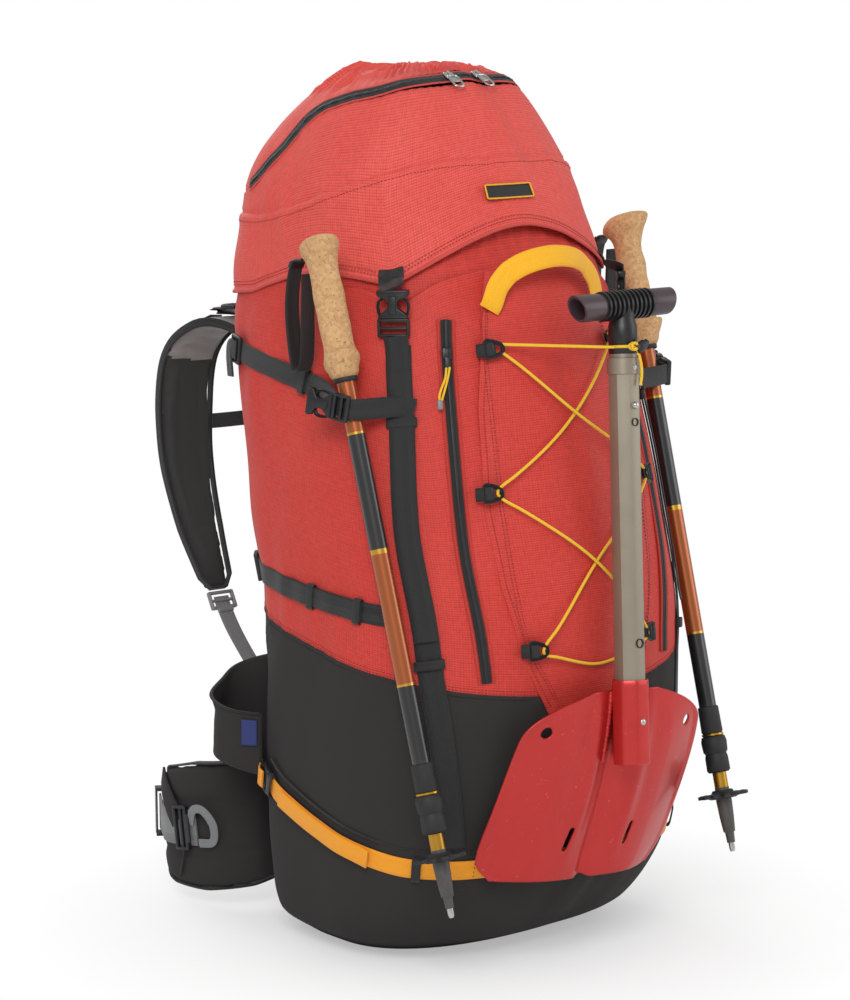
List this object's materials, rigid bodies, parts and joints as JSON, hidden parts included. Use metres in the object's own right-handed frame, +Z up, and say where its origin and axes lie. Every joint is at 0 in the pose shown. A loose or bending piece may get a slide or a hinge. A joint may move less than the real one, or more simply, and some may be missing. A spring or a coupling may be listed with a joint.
{
  "type": "expedition backpack",
  "caption": "Tall top-loading expedition backpack with a zipped lid, harness and hipbelt; trekking poles and a snow shovel are lashed on, with sliding and hinged parts.",
  "frame": {"origin": "centre of the flat base, on the ground", "axes": "+Z up, -Y the front with the shovel, +Y the harness side, -X the wearer's left"},
  "size_m": [0.4366, 0.6433, 0.8758],
  "materials": {
    "red_ripstop": "matt, fine grid weave",
    "black_canvas": "matt, heavy plain weave",
    "black_webbing": "matt, ribbed weave",
    "orange_webbing": "matt, ribbed weave",
    "yellow_webbing": "matt, ribbed weave",
    "grey_webbing": "matt, ribbed weave",
    "black_acetal": "satin moulded",
    "mesh_covered_foam": "matt mesh over foam",
    "white_polyethylene": "satin sheet",
    "bright_steel": "polished",
    "bare_alloy": "satin",
    "olive_anodised_alloy": "satin anodised",
    "red_anodised_alloy": "satin anodised",
    "copper_lacquer": "glossy lacquer",
    "cork": "matt"
  },
  "bodies": {
    "pack": {"base_boot": "black_canvas", "main_sack": "red_ripstop", "throat_collar": "red_ripstop", "throat_drawcord": "black_webbing", "front_pocket": "red_ripstop", "haul_loop": "yellow_webbing", "bungee_lacing": "yellow_webbing", "base_strap": "orange_webbing", "back_panel": "mesh_covered_foam", "lumbar_pad": "mesh_covered_foam", "frame_sheet": "white_polyethylene", "frame_hoop": "bare_alloy", "sternum_strap": "black_webbing", "front_zip_left": "black_webbing", "front_zip_right": "black_webbing", "front_strap_left": "black_webbing", "front_strap_right": "black_webbing", "side_strap_upper_left": "black_webbing", "side_strap_upper_right": "black_webbing", "side_strap_lower_left": "black_webbing", "side_strap_lower_right": "black_webbing", "side_pocket_left": "black_canvas", "side_pocket_right": "black_canvas", "shoulder_strap_left": "mesh_covered_foam", "shoulder_strap_right": "mesh_covered_foam", "load_lifter_left": "black_webbing", "load_lifter_right": "black_webbing", "shoulder_webbing_left": "grey_webbing", "shoulder_webbing_right": "grey_webbing", "shovel_shaft": "olive_anodised_alloy", "shovel_blade": "red_anodised_alloy"},
    "lid": {"lid_skirt": "red_ripstop", "lid_crown": "red_ripstop", "lid_floor": "red_ripstop", "lid_zip": "black_webbing", "lid_buckle_left": "black_acetal", "lid_buckle_right": "black_acetal"},
    "lid_slider_left": {"lid_zip_slider_left": "bright_steel"},
    "front_slider_left": {"front_zip_slider_left": "bright_steel"},
    "wing_left": {"hipbelt_wing_left": "black_canvas", "belt_webbing_left": "grey_webbing", "belt_buckle_socket": "black_acetal"},
    "pole_left": {"pole_grip_left": "cork", "wrist_strap_left": "black_webbing", "pole_shaft_left": "copper_lacquer"},
    "pole_tip_left": {"pole_lower_left": "black_acetal", "pole_basket_left": "black_acetal"},
    "lid_slider_right": {"lid_zip_slider_right": "bright_steel"},
    "front_slider_right": {"front_zip_slider_right": "bright_steel"},
    "wing_right": {"hipbelt_wing_right": "black_canvas", "belt_webbing_right": "grey_webbing", "belt_buckle_tongue": "black_acetal"},
    "pole_right": {"pole_grip_right": "cork", "wrist_strap_right": "black_webbing", "pole_shaft_right": "copper_lacquer"},
    "pole_tip_right": {"pole_lower_right": "black_acetal", "pole_basket_right": "black_acetal"},
    "handle": {"shovel_handle": "black_acetal"},
    "handle_pin": {"snap_button_handle": "bright_steel"},
    "blade_pin": {"snap_button_blade": "bright_steel"}
  },
  "joints": [
    {"name": "lid_hinge", "type": "hinge", "parent": "pack", "child": "lid", "pos_m": [0, 0.2013, 0.622], "axis": [-1, 0, 0], "range_deg": [0, 80]},
    {"name": "handle_slide", "type": "slide", "parent": "pack", "child": "handle", "axis": [0.0739, 0.1231, 0.9896], "range_m": [0, 0.227]},
    {"name": "handle_pin_press", "type": "slide", "parent": "pack", "child": "handle_pin", "axis": [-0.0092, 0.9924, -0.1227], "range_m": [0, 0.003], "stiffness_N_per_m": 60},
    {"name": "blade_pin_press", "type": "slide", "parent": "pack", "child": "blade_pin", "axis": [-0.0092, 0.9924, -0.1227], "range_m": [0, 0.003], "stiffness_N_per_m": 60},
    {"name": "lid_zip_left_run", "type": "hinge", "parent": "lid", "child": "lid_slider_left", "pos_m": [-0.05359, 0.07554, 0.81695], "axis": [0.4444, -0.1424, -0.8845], "range_deg": [0, 50]},
    {"name": "front_zip_left_run", "type": "hinge", "parent": "pack", "child": "front_slider_left", "pos_m": [1.44475, 1.34365, 0.00842], "axis": [0.7024, -0.7036, 0.108], "range_deg": [0, 3.1]},
    {"name": "wing_left_fold", "type": "hinge", "parent": "pack", "child": "wing_left", "pos_m": [-0.1, 0.15, 0.094], "axis": [0, 0, 1], "range_deg": [-5, 40]},
    {"name": "pole_left_draw", "type": "slide", "parent": "pack", "child": "pole_left", "axis": [-0.0184, 0.2805, 0.9597], "range_m": [0, 0.1]},
    {"name": "pole_left_extend", "type": "slide", "parent": "pole_left", "child": "pole_tip_left", "axis": [0.0184, -0.2805, -0.9597], "range_m": [0, 0.065]},
    {"name": "lid_zip_right_run", "type": "hinge", "parent": "lid", "child": "lid_slider_right", "pos_m": [0.05359, 0.07554, 0.81695], "axis": [0.4444, 0.1424, 0.8845], "range_deg": [0, 50]},
    {"name": "front_zip_right_run", "type": "hinge", "parent": "pack", "child": "front_slider_right", "pos_m": [-1.44475, 1.34365, 0.00842], "axis": [0.7024, 0.7036, -0.108], "range_deg": [0, 3.1]},
    {"name": "wing_right_fold", "type": "hinge", "parent": "pack", "child": "wing_right", "pos_m": [0.1, 0.15, 0.094], "axis": [0, 0, -1], "range_deg": [-5, 40]},
    {"name": "pole_right_draw", "type": "slide", "parent": "pack", "child": "pole_right", "axis": [0.0184, 0.2805, 0.9597], "range_m": [0, 0.1]},
    {"name": "pole_right_extend", "type": "slide", "parent": "pole_right", "child": "pole_tip_right", "axis": [-0.0184, -0.2805, -0.9597], "range_m": [0, 0.065]}
  ]
}
